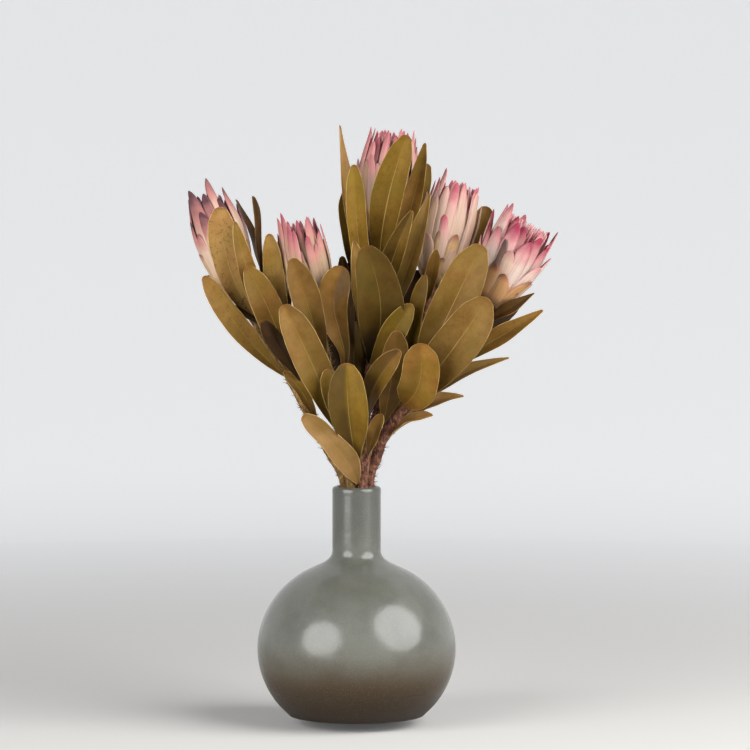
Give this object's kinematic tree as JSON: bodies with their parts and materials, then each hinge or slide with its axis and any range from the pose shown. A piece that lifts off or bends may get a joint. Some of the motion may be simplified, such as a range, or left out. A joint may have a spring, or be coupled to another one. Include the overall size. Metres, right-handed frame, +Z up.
{
  "type": "vase of dried protea flowers",
  "caption": "Bunch of dried protea flowers with pink bracts and leathery olive-tan leaves, standing in a grey-green glazed globe vase with a narrow neck.",
  "frame": {"origin": "centre of the vase's flat foot, on the surface that it stands on", "axes": "+Z up the vase's neck and the flowers; the bunch's fullest, most leafy side faces -Y; +X is to the right seen from the front"},
  "size_m": [0.3129, 0.1654, 0.5026],
  "materials": {
    "head_far_left_bracts": "dried papery bracts, cream at the base, pink to crimson at the tips",
    "head_far_left_florets": "dried rose florets with pale hairs",
    "head_far_right_bracts": "dried papery bracts, cream at the base, pink to crimson at the tips",
    "head_far_right_florets": "dried rose florets with pale hairs",
    "head_left_bracts": "dried papery bracts, cream at the base, pink to crimson at the tips",
    "head_left_florets": "dried rose florets with pale hairs",
    "head_middle_bracts": "dried papery bracts, cream at the base, pink to crimson at the tips",
    "head_middle_florets": "dried rose florets with pale hairs",
    "head_right_bracts": "dried papery bracts, cream at the base, pink to crimson at the tips",
    "head_right_florets": "dried rose florets with pale hairs",
    "leaf_far_left_01": "dried leathery leaf, olive-tan, with a pale margin and midrib",
    "leaf_far_left_02": "dried leathery leaf, olive-tan, with a pale margin and midrib",
    "leaf_far_left_03": "dried leathery leaf, olive-tan, with a pale margin and midrib",
    "leaf_far_left_04": "dried leathery leaf, olive-tan, with a pale margin and midrib",
    "leaf_far_left_05": "dried leathery leaf, olive-tan, with a pale margin and midrib",
    "leaf_far_left_06": "dried leathery leaf, olive-tan, with a pale margin and midrib",
    "leaf_far_left_07": "dried leathery leaf, olive-tan, with a pale margin and midrib",
    "leaf_far_left_08": "dried leathery leaf, olive-tan, with a pale margin and midrib",
    "leaf_far_left_09": "dried leathery leaf, olive-tan, with a pale margin and midrib",
    "leaf_far_right_01": "dried leathery leaf, olive-tan, with a pale margin and midrib",
    "leaf_far_right_02": "dried leathery leaf, olive-tan, with a pale margin and midrib",
    "leaf_far_right_03": "dried leathery leaf, olive-tan, with a pale margin and midrib",
    "leaf_far_right_04": "dried leathery leaf, olive-tan, with a pale margin and midrib",
    "leaf_far_right_05": "dried leathery leaf, olive-tan, with a pale margin and midrib",
    "leaf_far_right_06": "dried leathery leaf, olive-tan, with a pale margin and midrib",
    "leaf_far_right_07": "dried leathery leaf, olive-tan, with a pale margin and midrib",
    "leaf_far_right_08": "dried leathery leaf, olive-tan, with a pale margin and midrib",
    "leaf_far_right_09": "dried leathery leaf, olive-tan, with a pale margin and midrib",
    "leaf_far_right_10": "dried leathery leaf, olive-tan, with a pale margin and midrib",
    "leaf_far_right_11": "dried leathery leaf, olive-tan, with a pale margin and midrib",
    "leaf_left_01": "dried leathery leaf, olive-tan, with a pale margin and midrib",
    "leaf_left_02": "dried leathery leaf, olive-tan, with a pale margin and midrib",
    "leaf_left_03": "dried leathery leaf, olive-tan, with a pale margin and midrib",
    "leaf_left_04": "dried leathery leaf, olive-tan, with a pale margin and midrib",
    "leaf_left_05": "dried leathery leaf, olive-tan, with a pale margin and midrib",
    "leaf_middle_01": "dried leathery leaf, olive-tan, with a pale margin and midrib",
    "leaf_middle_02": "dried leathery leaf, olive-tan, with a pale margin and midrib",
    "leaf_middle_03": "dried leathery leaf, olive-tan, with a pale margin and midrib",
    "leaf_middle_04": "dried leathery leaf, olive-tan, with a pale margin and midrib",
    "leaf_middle_05": "dried leathery leaf, olive-tan, with a pale margin and midrib",
    "leaf_middle_06": "dried leathery leaf, olive-tan, with a pale margin and midrib",
    "leaf_middle_07": "dried leathery leaf, olive-tan, with a pale margin and midrib",
    "leaf_middle_08": "dried leathery leaf, olive-tan, with a pale margin and midrib",
    "leaf_middle_09": "dried leathery leaf, olive-tan, with a pale margin and midrib",
    "leaf_middle_10": "dried leathery leaf, olive-tan, with a pale margin and midrib",
    "leaf_middle_11": "dried leathery leaf, olive-tan, with a pale margin and midrib",
    "leaf_middle_12": "dried leathery leaf, olive-tan, with a pale margin and midrib",
    "leaf_middle_13": "dried leathery leaf, olive-tan, with a pale margin and midrib",
    "leaf_right_01": "dried leathery leaf, olive-tan, with a pale margin and midrib",
    "leaf_right_02": "dried leathery leaf, olive-tan, with a pale margin and midrib",
    "leaf_right_03": "dried leathery leaf, olive-tan, with a pale margin and midrib",
    "leaf_right_04": "dried leathery leaf, olive-tan, with a pale margin and midrib",
    "leaf_right_05": "dried leathery leaf, olive-tan, with a pale margin and midrib",
    "leaf_right_06": "dried leathery leaf, olive-tan, with a pale margin and midrib",
    "stem_far_left": "dry reddish-brown bark, rough and fibrous",
    "stem_far_right": "dry reddish-brown bark, rough and fibrous",
    "stem_left": "dry reddish-brown bark, rough and fibrous",
    "stem_middle": "dry reddish-brown bark, rough and fibrous",
    "stem_right": "dry reddish-brown bark, rough and fibrous",
    "vase": "grey-green semi-gloss glaze with a fine crackle"
  },
  "bodies": {
    "root": {"head_far_left_bracts": "head_far_left_bracts", "head_far_left_florets": "head_far_left_florets", "head_far_right_bracts": "head_far_right_bracts", "head_far_right_florets": "head_far_right_florets", "head_left_bracts": "head_left_bracts", "head_left_florets": "head_left_florets", "head_middle_bracts": "head_middle_bracts", "head_middle_florets": "head_middle_florets", "head_right_bracts": "head_right_bracts", "head_right_florets": "head_right_florets", "leaf_far_left_01": "leaf_far_left_01", "leaf_far_left_02": "leaf_far_left_02", "leaf_far_left_03": "leaf_far_left_03", "leaf_far_left_04": "leaf_far_left_04", "leaf_far_left_05": "leaf_far_left_05", "leaf_far_left_06": "leaf_far_left_06", "leaf_far_left_07": "leaf_far_left_07", "leaf_far_left_08": "leaf_far_left_08", "leaf_far_left_09": "leaf_far_left_09", "leaf_far_right_01": "leaf_far_right_01", "leaf_far_right_02": "leaf_far_right_02", "leaf_far_right_03": "leaf_far_right_03", "leaf_far_right_04": "leaf_far_right_04", "leaf_far_right_05": "leaf_far_right_05", "leaf_far_right_06": "leaf_far_right_06", "leaf_far_right_07": "leaf_far_right_07", "leaf_far_right_08": "leaf_far_right_08", "leaf_far_right_09": "leaf_far_right_09", "leaf_far_right_10": "leaf_far_right_10", "leaf_far_right_11": "leaf_far_right_11", "leaf_left_01": "leaf_left_01", "leaf_left_02": "leaf_left_02", "leaf_left_03": "leaf_left_03", "leaf_left_04": "leaf_left_04", "leaf_left_05": "leaf_left_05", "leaf_middle_01": "leaf_middle_01", "leaf_middle_02": "leaf_middle_02", "leaf_middle_03": "leaf_middle_03", "leaf_middle_04": "leaf_middle_04", "leaf_middle_05": "leaf_middle_05", "leaf_middle_06": "leaf_middle_06", "leaf_middle_07": "leaf_middle_07", "leaf_middle_08": "leaf_middle_08", "leaf_middle_09": "leaf_middle_09", "leaf_middle_10": "leaf_middle_10", "leaf_middle_11": "leaf_middle_11", "leaf_middle_12": "leaf_middle_12", "leaf_middle_13": "leaf_middle_13", "leaf_right_01": "leaf_right_01", "leaf_right_02": "leaf_right_02", "leaf_right_03": "leaf_right_03", "leaf_right_04": "leaf_right_04", "leaf_right_05": "leaf_right_05", "leaf_right_06": "leaf_right_06", "stem_far_left": "stem_far_left", "stem_far_right": "stem_far_right", "stem_left": "stem_left", "stem_middle": "stem_middle", "stem_right": "stem_right", "vase": "vase"}
  },
  "joints": []
}
